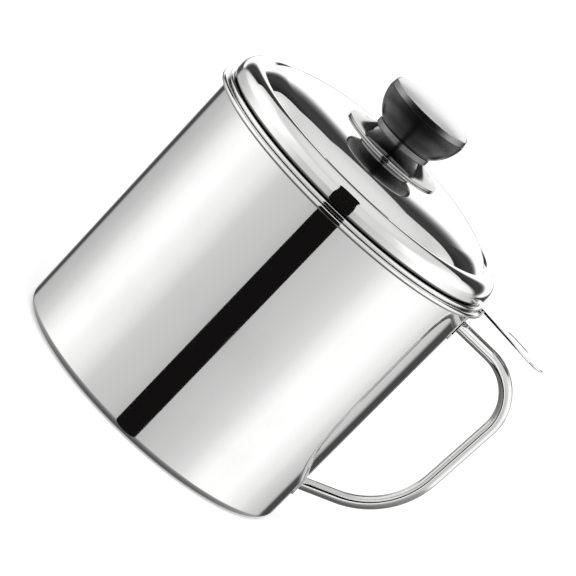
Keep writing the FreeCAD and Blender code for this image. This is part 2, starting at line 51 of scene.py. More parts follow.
def addCamera(view):
    tilt = math.radians(view["elevation"])
    spot = (view["aimX"], -view["distance"] * math.cos(tilt),
            view["aimZ"] + view["distance"] * math.sin(tilt))
    bpy.ops.object.camera_add(location=spot)
    camera = bpy.context.object
    camera.name = "photoCamera"
    camera.rotation_mode = "ZYX"
    camera.rotation_euler = (math.radians(90) - tilt, 0, math.radians(view["roll"]))
    camera.data.sensor_fit = "HORIZONTAL"
    camera.data.angle = math.radians(view["fieldOfView"])
    camera.data.clip_start = view["near"]
    camera.data.clip_end = view["far"]
    bpy.context.scene.camera = camera


addCamera(cameraView)
print("camera placed")


def deselectAll():
    if bpy.context.object and bpy.context.object.mode != "OBJECT":
        bpy.ops.object.mode_set(mode="OBJECT")
    bpy.ops.object.select_all(action="DESELECT")


def pickPiece(piece):
    deselectAll()
    bpy.context.view_layer.objects.active = piece
    piece.select_set(True)


def editPiece(piece):
    pickPiece(piece)
    bpy.ops.object.mode_set(mode="EDIT")
    bpy.ops.mesh.select_mode(type="VERT")
    bpy.ops.mesh.select_all(action="DESELECT")


def selectAll():
    bpy.ops.mesh.select_all(action="SELECT")


def leaveEdit():
    bpy.ops.object.mode_set(mode="OBJECT")


def faceOutwards():
    # The last step of modelling in edit mode.
    selectAll()
    bpy.ops.mesh.normals_make_consistent(inside=False)
    leaveEdit()


def bakePlace(piece):
    pickPiece(piece)
    bpy.ops.object.transform_apply(location=True, rotation=True, scale=True)


def oneVertex(name, x, y, z):
    deselectAll()
    bpy.ops.mesh.primitive_plane_add(size=mm)
    piece = bpy.context.object
    piece.name = name
    piece.data.name = name
    bpy.ops.object.mode_set(mode="EDIT")
    bpy.ops.mesh.select_mode(type="VERT")
    selectAll()
    bpy.ops.mesh.merge(type="CENTER")
    bpy.ops.transform.translate(value=(x, y, z))
    return piece


def arc(centreR, centreZ, radius, startAngle, endAngle, count):
    # Points of an arc in the turning plane, angles in degrees from outward towards up.
    spots = []
    for step in range(count + 1):
        angle = math.radians(startAngle + (endAngle - startAngle) * step / count)
        spots.append((centreR + radius * math.cos(angle), centreZ + radius * math.sin(angle)))
    return spots


def arcThrough(start, end, radius, side, count):
    # The short arc from start to end; side is 1 where its centre lies to the left.
    dx, dz = end[0] - start[0], end[1] - start[1]
    chord = math.hypot(dx, dz)
    reach = math.sqrt(max(radius * radius - chord * chord / 4, 0))
    centreR = (start[0] + end[0]) / 2 - dz / chord * reach * side
    centreZ = (start[1] + end[1]) / 2 + dx / chord * reach * side
    first = math.degrees(math.atan2(start[1] - centreZ, start[0] - centreR))
    last = math.degrees(math.atan2(end[1] - centreZ, end[0] - centreR))
    if side > 0 and last < first:
        last += 360
    if side < 0 and last > first:
        last -= 360
    return arc(centreR, centreZ, radius, first, last, count)


def mergeAll():
    selectAll()
    bpy.ops.mesh.remove_doubles(threshold=mergeReach)


def drawLine(name, spots):
    # A line of edges through the spots, given in metres. It stays in edit mode.
    piece = oneVertex(name, *spots[0])
    for before, after in zip(spots, spots[1:]):
        step = tuple(end - start for start, end in zip(before, after))
        bpy.ops.mesh.extrude_vertices_move(TRANSFORM_OT_translate={"value": step})
    mergeAll()
    return piece


def turnedPiece(name, outline, steps, closed=True):
    # Spins an outline, given in millimetres as (radius, height), about the canister's axis.
    spots = [(r * mm, 0, z * mm) for r, z in outline]
    piece = drawLine(name, spots + spots[:1] if closed else spots)
    bpy.ops.mesh.spin(steps=steps, angle=2 * math.pi, center=(0, 0, 0), axis=(0, 0, 1))
    mergeAll()
    faceOutwards()
    return piece


def flatLoop(name, outline):
    # A closed loop of edges on the level plane, given in millimetres.
    spots = [(x * mm, y * mm, 0) for x, y in outline]
    piece = drawLine(name, spots + spots[:1])
    leaveEdit()
    return piece


def bevelRings(piece, rings, width, segments):
    # Bevels the round edges that run at the given (radius, height), in millimetres.
    editPiece(piece)
    bpy.ops.mesh.select_mode(type="EDGE")
    leaveEdit()
    places = [(r * mm, z * mm) for r, z in rings]
    points = piece.data.vertices
    for edge in piece.data.edges:
        ends = [points[index].co for index in edge.vertices]
        edge.select = any(
            all(max(abs(math.hypot(end.x, end.y) - r), abs(end.z - z)) < findReach
                for end in ends)
            for r, z in places
        )
    bpy.ops.object.mode_set(mode="EDIT")
    bpy.ops.mesh.bevel(offset=width * mm, segments=segments, affect="EDGES")
    leaveEdit()


def thickenSheet(piece, gauge, offset, edgeRound, segments, sharpAngle):
    # Gives a flat cut its gauge, in millimetres, and softens its edges.
    thick = piece.modifiers.new("sheet", "SOLIDIFY")
    thick.thickness = gauge * mm
    thick.offset = offset
    soft = piece.modifiers.new("edge", "BEVEL")
    soft.width = edgeRound * mm
    soft.segments = segments
    soft.limit_method = "ANGLE"
    soft.angle_limit = math.radians(sharpAngle)
    pickPiece(piece)
    for modifier in list(piece.modifiers):
        bpy.ops.object.modifier_apply(modifier=modifier.name)


def smoothPiece(piece, angle):
    pickPiece(piece)
    bpy.ops.object.shade_smooth_by_angle(angle=math.radians(angle))
    even = piece.modifiers.new("evenNormals", "WEIGHTED_NORMAL")
    even.keep_sharp = True
    bpy.ops.object.modifier_apply(modifier=even.name)


# Finish of every CAD node, filled in as the pieces that take their place are made.
nodeFinish = {}


def finishPiece(piece, body, node, material, angle=35):
    bakePlace(piece)
    smoothPiece(piece, angle)
    piece.data.materials.clear()
    piece.data.materials.append(material)
    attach(piece, body)
    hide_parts(node)
    nodeFinish[node] = material
    print("made", piece.name, len(piece.data.polygons), "faces")


def newMaterial(name):
    material = bpy.data.materials.new(name)
    material.use_nodes = True
    tree = material.node_tree
    shader = tree.nodes["Principled BSDF"]
    return material, tree, shader


def newNode(tree, kind, **settings):
    node = tree.nodes.new(kind)
    for key, value in settings.items():
        setattr(node, key, value)
    return node


def newGroup(name, inputs, outputs):
    group = bpy.data.node_groups.new(name, "ShaderNodeTree")
    for label, kind, value in inputs:
        socket = group.interface.new_socket(name=label, in_out="INPUT", socket_type=kind)
        socket.default_value = value
    for label, kind in outputs:
        group.interface.new_socket(name=label, in_out="OUTPUT", socket_type=kind)
    entry = group.nodes.new("NodeGroupInput")
    leave = group.nodes.new("NodeGroupOutput")
    return group, entry, leave


def feed(tree, socket, value):
    # A number becomes the socket's own value, and an output is linked to it.
    if isinstance(value, (int, float)):
        socket.default_value = value
    else:
        tree.links.new(value, socket)


def mathNode(tree, operation, first, second=None):
    node = newNode(tree, "ShaderNodeMath", operation=operation)
    feed(tree, node.inputs[0], first)
    if second is not None:
        feed(tree, node.inputs[1], second)
    return node.outputs[0]


def smoothShare(tree, value, low, high):
    share = newNode(tree, "ShaderNodeMapRange", interpolation_type="SMOOTHSTEP")
    share.inputs["From Min"].default_value = low
    share.inputs["From Max"].default_value = high
    tree.links.new(value, share.inputs["Value"])
    return share.outputs["Result"]


def mixLevel(tree, share, first, second):
    node = newNode(tree, "ShaderNodeMix", data_type="FLOAT")
    for index, value in ((0, share), (2, first), (3, second)):
        feed(tree, node.inputs[index], value)
    return node.outputs[0]


def placeAxes(tree, kind):
    place = newNode(tree, "ShaderNodeTexCoord")
    split = newNode(tree, "ShaderNodeSeparateXYZ")
    tree.links.new(place.outputs[kind], split.inputs[0])
    return [split.outputs[axis] for axis in "XYZ"]


def noiseNode(tree, place, scale, detail, roughness=0.5):
    noise = newNode(tree, "ShaderNodeTexNoise")
    tree.links.new(place.outputs["Object"], noise.inputs["Vector"])
    feed(tree, noise.inputs["Scale"], scale)
    noise.inputs["Detail"].default_value = detail
    noise.inputs["Roughness"].default_value = roughness
    return noise.outputs["Fac"]


def addBump(tree, shader, height, strength, distance):
    bump = newNode(tree, "ShaderNodeBump")
    bump.inputs["Strength"].default_value = strength
    bump.inputs["Distance"].default_value = distance
    tree.links.new(height, bump.inputs["Height"])
    tree.links.new(bump.outputs["Normal"], shader.inputs["Normal"])


handling = {"hazeDetail": 6, "hazeRoughness": 0.6, "hazeRange": (0.45, 0.75), "waveDetail": 1,
            "grainDetail": 2, "grainShare": 0.04}


def makeHandlingGroup(look):
    # Faint finger haze and soft cloudiness that a kitchen can gets: a colour, a roughness and
    # a low rolling waviness left by the drawing of the sheet.
    group, entry, leave = newGroup(
        "sheetHandling",
        [("Color", "NodeSocketColor", (0.8, 0.8, 0.8, 1)),
         ("Haze Color", "NodeSocketColor", (0.7, 0.7, 0.7, 1)),
         ("Base Roughness", "NodeSocketFloat", 0.04),
         ("Haze", "NodeSocketFloat", 0.05),
         ("Haze Scale", "NodeSocketFloat", 40.0),
         ("Wave Scale", "NodeSocketFloat", 25.0),
         ("Grain Scale", "NodeSocketFloat", 900.0)],
        [("Color", "NodeSocketColor"), ("Roughness", "NodeSocketFloat"),
         ("Height", "NodeSocketFloat")],
    )
    links = group.links
    place = newNode(group, "ShaderNodeTexCoord")
    haze = noiseNode(group, place, entry.outputs["Haze Scale"], look["hazeDetail"],
                     look["hazeRoughness"])
    spread = smoothShare(group, haze, *look["hazeRange"])
    amount = mathNode(group, "MULTIPLY", spread, entry.outputs["Haze"])
    rough = mathNode(group, "ADD", amount, entry.outputs["Base Roughness"])
    links.new(rough, leave.inputs["Roughness"])
    mix = newNode(group, "ShaderNodeMix", data_type="RGBA")
    links.new(spread, mix.inputs["Factor"])
    links.new(entry.outputs["Color"], mix.inputs["A"])
    links.new(entry.outputs["Haze Color"], mix.inputs["B"])
    links.new(mix.outputs["Result"], leave.inputs["Color"])
    wave = noiseNode(group, place, entry.outputs["Wave Scale"], look["waveDetail"])
    grain = noiseNode(group, place, entry.outputs["Grain Scale"], look["grainDetail"])
    fine = mathNode(group, "MULTIPLY", grain, look["grainShare"])
    links.new(mathNode(group, "ADD", wave, fine), leave.inputs["Height"])
    return group


handlingGroup = makeHandlingGroup(handling)


def metalMaterial(name, look):
    material, tree, shader = newMaterial(name)
    group = newNode(tree, "ShaderNodeGroup", node_tree=handlingGroup)
    group.inputs["Color"].default_value = (*look["color"], 1)
    group.inputs["Haze Color"].default_value = (*look["hazeColor"], 1)
    for label, key in (("Base Roughness", "roughness"), ("Haze", "haze"),
                       ("Haze Scale", "hazeScale"), ("Wave Scale", "waveScale"),
                       ("Grain Scale", "grainScale")):
        group.inputs[label].default_value = look[key]
    tree.links.new(group.outputs["Color"], shader.inputs["Base Color"])
    tree.links.new(group.outputs["Roughness"], shader.inputs["Roughness"])
    addBump(tree, shader, group.outputs["Height"], look["bump"], look["bumpDepth"])
    shader.inputs["Metallic"].default_value = 1
    return material


sheetSteelLook = {"color": (0.86, 0.86, 0.855), "hazeColor": (0.82, 0.82, 0.815),
                  "roughness": 0.03, "haze": 0.03, "hazeScale": 30, "waveScale": 30,
                  "grainScale": 1500, "bump": 0.15, "bumpDepth": 0.00006}
lidSteelLook = {**sheetSteelLook, "hazeScale": 42, "waveScale": 38, "bumpDepth": 0.00004}
rodSteelLook = {**sheetSteelLook, "color": (0.82, 0.82, 0.815), "roughness": 0.06, "haze": 0.05,
                "waveScale": 120, "bumpDepth": 0.00005}
knobSteelLook = {**sheetSteelLook, "roughness": 0.05, "haze": 0.04, "hazeScale": 90}
# The cap's steel is given a lighter colour than the other steel: painted light, standing in for
# the cap looking evenly lit; its satin roughness is the cap's own.
capPaintedLightSteelLook = {**knobSteelLook, "color": (0.97, 0.97, 0.965), "hazeColor": (0.94, 0.94, 0.935),
                "roughness": 0.34, "haze": 0.05}
# The flare's steel is given a darker colour than the other steel: painted shade, standing in for
# the dark reflections on its front.
flarePaintedShadeSteelLook = {**knobSteelLook, "color": (0.5, 0.5, 0.495), "hazeColor": (0.43, 0.43, 0.425)}
# The collar's steel is given a much darker colour than the other steel: painted shade, standing in
# for the dark reflections round it.
collarPaintedShadeSteelLook = {**knobSteelLook, "color": (0.22, 0.22, 0.22), "hazeColor": (0.17, 0.17, 0.17),
                   "roughness": 0.2}
wireLook = {"color": (0.62, 0.62, 0.61), "hazeColor": (0.5, 0.5, 0.49), "roughness": 0.22,
            "haze": 0.1, "hazeScale": 80, "waveScale": 200, "grainScale": 4000, "bump": 0.2,
            "bumpDepth": 0.00002}
screwLook = {"color": (0.6, 0.59, 0.57), "hazeColor": (0.48, 0.47, 0.45), "roughness": 0.25,
             "haze": 0.12, "hazeScale": 300, "waveScale": 300, "grainScale": 5000, "bump": 0.3,
             "bumpDepth": 0.00003}
brassLook = {**screwLook, "color": (0.72, 0.55, 0.27), "hazeColor": (0.6, 0.44, 0.2)}

sheetSteel = metalMaterial("polishedSheetSteel", sheetSteelLook)
lidSteel = metalMaterial("polishedLidSteel", lidSteelLook)
rodSteel = metalMaterial("polishedRodSteel", rodSteelLook)
flarePaintedShadeSteel = metalMaterial("polishedKnobSteelPaintedShade", flarePaintedShadeSteelLook)
capPaintedLightSteel = metalMaterial("satinCapSteelPaintedLight", capPaintedLightSteelLook)
collarPaintedShadeSteel = metalMaterial("collarSteelPaintedShade", collarPaintedShadeSteelLook)
netWire = metalMaterial("strainerWire", wireLook)
screwSteel = metalMaterial("plainScrewSteel", screwLook)
insertBrass = metalMaterial("insertBrass", brassLook)


def paintSeamShade(material, seamShade):
    # Painted shade: the sheet's colour darkens where it folds under, close over the rim that it
    # stands on, standing in for the shadow in the seam.
    tree = material.node_tree
    target = tree.nodes["Principled BSDF"].inputs["Base Color"]
    color = target.links[0].from_socket
    height = placeAxes(tree, "Object")[2]
    mix = newNode(tree, "ShaderNodeMix", data_type="RGBA")
    tree.links.new(smoothShare(tree, height, seamShade["dark"] * mm, seamShade["clear"] * mm), mix.inputs[0])
    mix.inputs[6].default_value = (*seamShade["color"], 1)
    tree.links.new(color, mix.inputs[7])
    tree.links.new(mix.outputs[2], target)


def wallLean(size):
    # How far the canister's wall leans out for each unit of height.
    return (size["rimRadius"] - size["footRadius"]) / (size["height"] - size["gauge"])


def dullInside(material, size, finish):
    # The drawn inside of the canister is left duller than the polished outside.
    tree = material.node_tree
    shader = tree.nodes["Principled BSDF"]
    x, y, z = placeAxes(tree, "Object")
    radius = mathNode(tree, "SQRT", mathNode(tree, "ADD", mathNode(tree, "MULTIPLY", x, x),
                                             mathNode(tree, "MULTIPLY", y, y)))
    middle = mathNode(tree, "ADD", mathNode(tree, "MULTIPLY", z, wallLean(size)),
                      (size["footRadius"] - size["gauge"] / 2) * mm)
    depth = mathNode(tree, "SUBTRACT", middle, radius)
    within = smoothShare(tree, depth, -finish["sheetBlend"] * mm, finish["sheetBlend"] * mm)
    # The foot's outer round also lies within that line, so the floor and the wall are taken apart.
    foot = size["footRound"] * mm, (size["footRound"] + finish["footBlend"]) * mm
    wall = smoothShare(tree, z, *foot)
    floor = smoothShare(tree, depth, *foot)
    above = smoothShare(tree, z, size["gauge"] * mm / 4, size["gauge"] * mm / 2)
    inside = mathNode(tree, "MULTIPLY", within, mathNode(tree, "MAXIMUM", wall, floor))
    inside = mathNode(tree, "MULTIPLY", inside, above)
    rough = shader.inputs["Roughness"].links[0].from_socket
    tree.links.new(mixLevel(tree, inside, rough, finish["roughness"]), shader.inputs["Roughness"])
    tree.links.new(mixLevel(tree, inside, 1.0, finish["metallic"]), shader.inputs["Metallic"])


gripLook = {"color": (0.003, 0.003, 0.0032), "worn": (0.006, 0.006, 0.0062), "roughness": 0.28,
            "specular": 0.1, "coat": 0.8, "coatIndex": 1.6, "coatRoughness": 0.24,
            "skin": (0.02, 0.3), "cloudScale": 160, "cloudDetail": 4, "wornRange": (0.4, 0.8),
            "smoother": 0.05, "rougher": 0.08, "grainScale": 2600, "grainDetail": 3,
            "bump": 0.25, "bumpDepth": 0.00003}
bezelLook = {**gripLook, "coat": 1.0, "coatIndex": 3.2, "coatRoughness": 0.22}


def mouldedMaterial(name, look):
    # Satin black moulding with a fine grain and slightly worn, cloudy patches.
    material, tree, shader = newMaterial(name)
    place = newNode(tree, "ShaderNodeTexCoord")
    cloud = noiseNode(tree, place, look["cloudScale"], look["cloudDetail"])
    ramp = newNode(tree, "ShaderNodeValToRGB")
    for element, position, color in zip(ramp.color_ramp.elements, look["wornRange"],
                                        (look["color"], look["worn"])):
        element.position = position
        element.color = (*color, 1)
    tree.links.new(cloud, ramp.inputs["Fac"])
    tree.links.new(ramp.outputs["Color"], shader.inputs["Base Color"])
    rough = newNode(tree, "ShaderNodeMapRange")
    rough.inputs["To Min"].default_value = look["roughness"] - look["smoother"]
    rough.inputs["To Max"].default_value = look["roughness"] + look["rougher"]
    tree.links.new(cloud, rough.inputs["Value"])
    tree.links.new(rough.outputs["Result"], shader.inputs["Roughness"])
    grain = noiseNode(tree, place, look["grainScale"], look["grainDetail"])
    addBump(tree, shader, grain, look["bump"], look["bumpDepth"])
    shader.inputs["Specular IOR Level"].default_value = look["specular"]
    # The moulding's skin shines where it turns away.
    facing = newNode(tree, "ShaderNodeLayerWeight")
    skin = smoothShare(tree, facing.outputs["Facing"], *look["skin"])
    tree.links.new(mathNode(tree, "MULTIPLY", skin, look["coat"]), shader.inputs["Coat Weight"])
    shader.inputs["Coat IOR"].default_value = look["coatIndex"]
    shader.inputs["Coat Roughness"].default_value = look["coatRoughness"]
    return material


blackMoulding = mouldedMaterial("satinBlackMoulding", gripLook)
bezelMoulding = mouldedMaterial("glossBlackMoulding", bezelLook)
print("materials made")


studio = {
    "white": 1.25,             # level of the ramps' whitest panels
    "backdrop": 1.0,           # what the camera sees behind the object
    "diffuseLevel": 0.75,      # plain light on matt surfaces
    "ceilingEdge": 0.74,       # the overhead panel near its edge
    "ceilingMiddle": 0.87,     # and straight up
    "gapRight": 131.0,         # the dark gap behind the table: its right side, degrees round
    "gapLeft": 144.5,          # and its left side, at table height
    "gapLean": 27.0,           # how far the left side leans out, degrees for a full rise
    "gapFoot": 45.0,           # how far the right side comes in below the table
    "cardRight": 0.62,         # white card in the gap, shares of a unit sphere
    "cardLeft": 0.50,
    "cardHeight": 0.54,
    "footLevel": 0.42,         # what shows under the card, straight behind
    "footGap": 0.07,           # and beside that
    "panelMost": 60.0,         # more than any height of the panel's edge, in degrees
    # Where one part gives way to the next: heights and widths on a unit sphere,
    "tableBlend": (-0.43, -0.28),
    "cardBlend": (-0.1, -0.03),
    "wallBlend": (-0.03, 0.14),
    "ceilingStart": (0.6, 0.8),
    "ceilingBlend": (0.7, 1.0),
    "footBlend": (0.2, 0.3),
    # and degrees.
    "rightBlend": (-4, 5),
    "leftBlend": (-4, 4),
    "panelBlend": (-0.5, 0.5),
    "windowBlend": (5.5, 6.5),
}
# Level of the walls at table height and below: degrees round from the camera's side (left is
# negative), then brightness.
wallStops = [(-180, 0.60), (-150, 0.52), (-131, 0.60), (-115, 0.75), (-103, 0.97), (-92, 1.13),
             (-80, 1.20), (-68, 1.06), (-58, 0.98), (-50, 0.86), (-43, 0.72), (-35, 0.675),
             (-20, 0.64), (-10, 0.56), (10, 0.60), (18, 0.65), (30, 0.68), (42, 0.76), (50, 0.84),
             (57, 0.99), (66, 1.15), (90, 1.20), (100, 1.09), (112, 0.965), (120, 0.81),
             (130, 0.70), (140, 0.62), (180, 0.60)]
# The same above the table.
sideStops = [(-180, 0.74), (-140, 0.80), (-125, 1.05), (-112, 1.20), (-68, 1.20), (-55, 0.98),
             (-35, 0.86), (0, 0.82), (30, 0.76), (45, 0.84), (56, 1.15), (70, 1.20), (112, 1.20),
             (125, 1.05), (140, 0.80), (180, 0.74)]
# Level of the table, by height on a unit sphere.
tableStops = [(-1.0, 0.10), (-0.8, 0.16), (-0.6, 0.26), (-0.42, 0.36), (1.0, 0.36)]
# Level of the white card, by distance from its foot in shares of its size.
cardStops = [(0.0, 1.2), (0.97, 1.2), (1.04, 0.85), (1.10, 0.48), (1.17, 0.20), (1.24, 0.10),
             (1.31, 0.05), (1.5, 0.055), (1.8, 0.035), (2.0, 0.02)]
# Where the overhead panel starts over the back: degrees round, then degrees up.
panelEdge = [(-180, 45.5), (-169, 45.5), (-151, 48.5), (-142, 40.0), (-125, 37.0), (125, 42.0),
             (144, 45.5), (180, 45.5)]
# Level of the lit window behind the flag, by height on a unit sphere.
windowStops = [(-1.0, 0.10), (-0.95, 0.12), (-0.88, 0.8), (-0.74, 0.95), (-0.68, 0.12),
               (-0.64, 0.12), (-0.60, 0.55), (-0.56, 0.12), (-0.50, 0.12), (-0.44, 1.0),
               (0.14, 1.15), (0.20, 0.15), (0.25, 0.15), (0.31, 1.15), (0.85, 1.15), (1.0, 0.9)]
# Dark flag beside the camera, which the polished front shows as a bar: half its width at each
# height, in metres. Its lower end is half a long ellipse.
flag = {"place": (-0.003, -0.35), "footHeight": -0.17, "footReach": 0.73,
        "color": (1, 0.9, 0.88), "level": 0.007,
        "sides": [(0.052, -0.17), (0.052, 0.30), (0.058, 0.45), (0.072, 0.62), (0.089, 0.80),
                  (0.098, 1.00), (0.098, 1.14), (0.090, 1.25), (0.074, 1.34), (0.050, 1.41),
                  (0.020, 1.44)]}


def rampNode(tree, value, stops, low, high, most=1.0):
    # Looks a level up in the stops. A ramp holds no level over one, so it keeps shares of most.
    ramp = newNode(tree, "ShaderNodeValToRGB")
    elements = ramp.color_ramp.elements
    while len(elements) < len(stops):
        elements.new(0.5)
    for element, (place, level) in zip(elements, stops):
        element.position = (place - low) / (high - low)
        element.color = (level / most, level / most, level / most, 1)
    share = mathNode(tree, "DIVIDE", mathNode(tree, "SUBTRACT", value, low), high - low)
    tree.links.new(share, ramp.inputs["Fac"])
    return mathNode(tree, "MULTIPLY", ramp.outputs["Color"], most)


def roomLevel(tree, look, turn, z):
    # Walls and overhead panel.
    low = rampNode(tree, turn, wallStops, -180, 180, look["white"])
    high = rampNode(tree, turn, sideStops, -180, 180, look["white"])
    walls = mixLevel(tree, smoothShare(tree, z, *look["wallBlend"]), low, high)
    ceiling = mixLevel(tree, smoothShare(tree, z, *look["ceilingBlend"]), look["ceilingEdge"],
                       look["ceilingMiddle"])
    return mixLevel(tree, smoothShare(tree, z, *look["ceilingStart"]), walls, ceiling)


def gapShare(tree, look, turn, y, z):
    # One within the dark gap behind the table, which ends at the overhead panel's edge.
    below = mathNode(tree, "MAXIMUM", mathNode(tree, "MULTIPLY", z, -1.0), 0.0)
    rightSide = mathNode(tree, "ADD", mathNode(tree, "MULTIPLY", below, look["gapFoot"]),
                         look["gapRight"])
    right = smoothShare(tree, mathNode(tree, "SUBTRACT", turn, rightSide), *look["rightBlend"])
    leftSide = mathNode(tree, "SUBTRACT", look["gapLeft"],
                        mathNode(tree, "MULTIPLY", z, look["gapLean"]))
    left = mathNode(tree, "SUBTRACT", mathNode(tree, "MULTIPLY", turn, -1.0), leftSide)
    sides = mathNode(tree, "MAXIMUM", right, smoothShare(tree, left, *look["leftBlend"]))
    climb = mathNode(tree, "DEGREES", mathNode(tree, "ARCTAN2", z, y))
    edge = rampNode(tree, turn, panelEdge, -180, 180, look["panelMost"])
    past = smoothShare(tree, mathNode(tree, "SUBTRACT", climb, edge), *look["panelBlend"])
    return mathNode(tree, "MULTIPLY", sides, mathNode(tree, "SUBTRACT", 1.0, past))


def behindLevel(tree, look, x, z):
    # White card in the gap, and what shows under it.
    across = mathNode(tree, "MAXIMUM", mathNode(tree, "DIVIDE", x, look["cardRight"]),
                      mathNode(tree, "DIVIDE", x, -look["cardLeft"]))
    up = mathNode(tree, "DIVIDE", mathNode(tree, "MAXIMUM", z, 0.0), look["cardHeight"])
    card = rampNode(tree, mathNode(tree, "ADD", across, up), cardStops, 0, 2, look["white"])
    aside = smoothShare(tree, mathNode(tree, "ABSOLUTE", x), *look["footBlend"])
    foot = mixLevel(tree, aside, look["footLevel"], look["footGap"])
    return mixLevel(tree, smoothShare(tree, z, *look["cardBlend"]), foot, card)


def studioLevel(tree, look):
    # Brightness of the studio in every direction. Turn is in degrees from the camera's side.
    x, y, z = placeAxes(tree, "Generated")
    turn = mathNode(tree, "ARCTAN2", x, mathNode(tree, "MULTIPLY", y, -1.0))
    turn = mathNode(tree, "DEGREES", turn)
    level = mixLevel(tree, gapShare(tree, look, turn, y, z), roomLevel(tree, look, turn, z),
                     behindLevel(tree, look, x, z))
    table = rampNode(tree, z, tableStops, -1, 1)
    level = mixLevel(tree, smoothShare(tree, z, *look["tableBlend"]), table, level)
    beside = smoothShare(tree, mathNode(tree, "ABSOLUTE", turn), *look["windowBlend"])
    shine = rampNode(tree, z, windowStops, -1, 1, look["white"])
    return mixLevel(tree, beside, shine, level)


def lightNode(tree, kind, level, color=(1, 1, 1)):
    light = newNode(tree, kind)
    light.inputs["Color"].default_value = (*color, 1)
    feed(tree, light.inputs["Strength"], level)
    return light.outputs[0]


def mixShader(tree, share, first, second):
    node = newNode(tree, "ShaderNodeMixShader")
    for index, value in enumerate((share, first, second)):
        tree.links.new(value, node.inputs[index])
    return node.outputs[0]


def makeStudio(look):
    world = bpy.data.worlds.new("softStudio")
    bpy.context.scene.world = world
    world.use_nodes = True
    tree = world.node_tree
    tree.nodes.clear()
    ray = newNode(tree, "ShaderNodeLightPath")
    mirrored = lightNode(tree, "ShaderNodeBackground", studioLevel(tree, look))
    plain = lightNode(tree, "ShaderNodeBackground", look["diffuseLevel"])
    seen = lightNode(tree, "ShaderNodeBackground", look["backdrop"])
    lit = mixShader(tree, ray.outputs["Is Glossy Ray"], plain, mirrored)
    output = newNode(tree, "ShaderNodeOutputWorld")
    tree.links.new(mixShader(tree, ray.outputs["Is Camera Ray"], lit, seen),
                   output.inputs["Surface"])


def makeFlag(look):
    # Upright black flag that only mirror reflections see.
    middle, away = look["place"]
    half = look["sides"][0][0]
    foot = [(half * math.cos(math.radians(turn)),
             look["footHeight"] + look["footReach"] * math.sin(math.radians(turn)))
            for turn in range(-90, 0, 6)]
    side = foot + look["sides"]
    loop = side + [(-reach, height) for reach, height in reversed(side[1:])]
    card = flatLoop("darkFlag", [(reach / mm, height / mm) for reach, height in loop])
    editPiece(card)
    selectAll()
    bpy.ops.mesh.edge_face_add()
    leaveEdit()
    card.rotation_euler = (math.radians(90), 0, 0)
    card.location = (middle, away, 0)
    bakePlace(card)
    material, tree, shader = newMaterial("blackFlag")
    tree.nodes.remove(shader)
    glow = lightNode(tree, "ShaderNodeEmission", look["level"], look["color"])
    tree.links.new(glow, tree.nodes["Material Output"].inputs["Surface"])
    card.data.materials.append(material)
    card.visible_camera = False
    card.visible_diffuse = False
    card.visible_transmission = False
    card.visible_shadow = False


floorLook = {"size": 6.0, "drop": 0.0002, "color": (0.9, 0.9, 0.9), "fill": 0.34}


def makeFloor(look):
    # White table. It keeps the object's shadow, is clear to mirror reflections, which see the
    # studio there, and is clear from below.
    deselectAll()
    bpy.ops.mesh.primitive_plane_add(size=look["size"], location=(0, 0, -look["drop"]))
    floor = bpy.context.object
    floor.name = "tableTop"
    material, tree, shader = newMaterial("whiteTable")
    tree.nodes.remove(shader)
    links = tree.links
    matt = newNode(tree, "ShaderNodeBsdfDiffuse")
    matt.inputs["Color"].default_value = (*look["color"], 1)
    ray = newNode(tree, "ShaderNodeLightPath")
    level = mathNode(tree, "MULTIPLY", ray.outputs["Is Camera Ray"], look["fill"])
    table = newNode(tree, "ShaderNodeAddShader")
    links.new(matt.outputs[0], table.inputs[0])
    links.new(lightNode(tree, "ShaderNodeEmission", level), table.inputs[1])
    clear = newNode(tree, "ShaderNodeBsdfTransparent")
    side = newNode(tree, "ShaderNodeNewGeometry")
    hidden = mathNode(tree, "MAXIMUM", ray.outputs["Is Glossy Ray"], side.outputs["Backfacing"])
    links.new(mixShader(tree, hidden, table.outputs[0], clear.outputs[0]),
              tree.nodes["Material Output"].inputs["Surface"])
    floor.data.materials.append(material)


softbox = {"place": (0.3, -0.5, 1.6), "aim": (0, 0, 0.08), "size": 1.2, "power": 9}


def makeLamp(name, look):
    deselectAll()
    bpy.ops.object.light_add(type="AREA", location=look["place"])
    lamp = bpy.context.object
    lamp.name = name
    lamp.data.size = look["size"]
    lamp.data.energy = look["power"]
    lamp.visible_glossy = False
    dx, dy, dz = (end - start for start, end in zip(look["place"], look["aim"]))
    lamp.rotation_mode = "XYZ"
    lamp.rotation_euler = (math.acos(dz / math.sqrt(dx * dx + dy * dy + dz * dz)) - math.pi, 0,
                           math.atan2(dy, dx) + math.pi / 2)


makeStudio(studio)
makeFlag(flag)
makeFloor(floorLook)
makeLamp("overheadSoftbox", softbox)
bpy.context.scene.view_settings.view_transform = "Standard"
print("studio lit")


canister = {"rimRadius": 60.0, "footRadius": 58.6, "gauge": 0.7, "height": 108.7,
            "footRound": 3.0, "mouthRound": 1.4, "underRound": 0.5, "rimReach": 2.1,
            "rollRadius": 1.0, "steps": 288}


def wallRadius(size, height):
    return size["footRadius"] + wallLean(size) * height


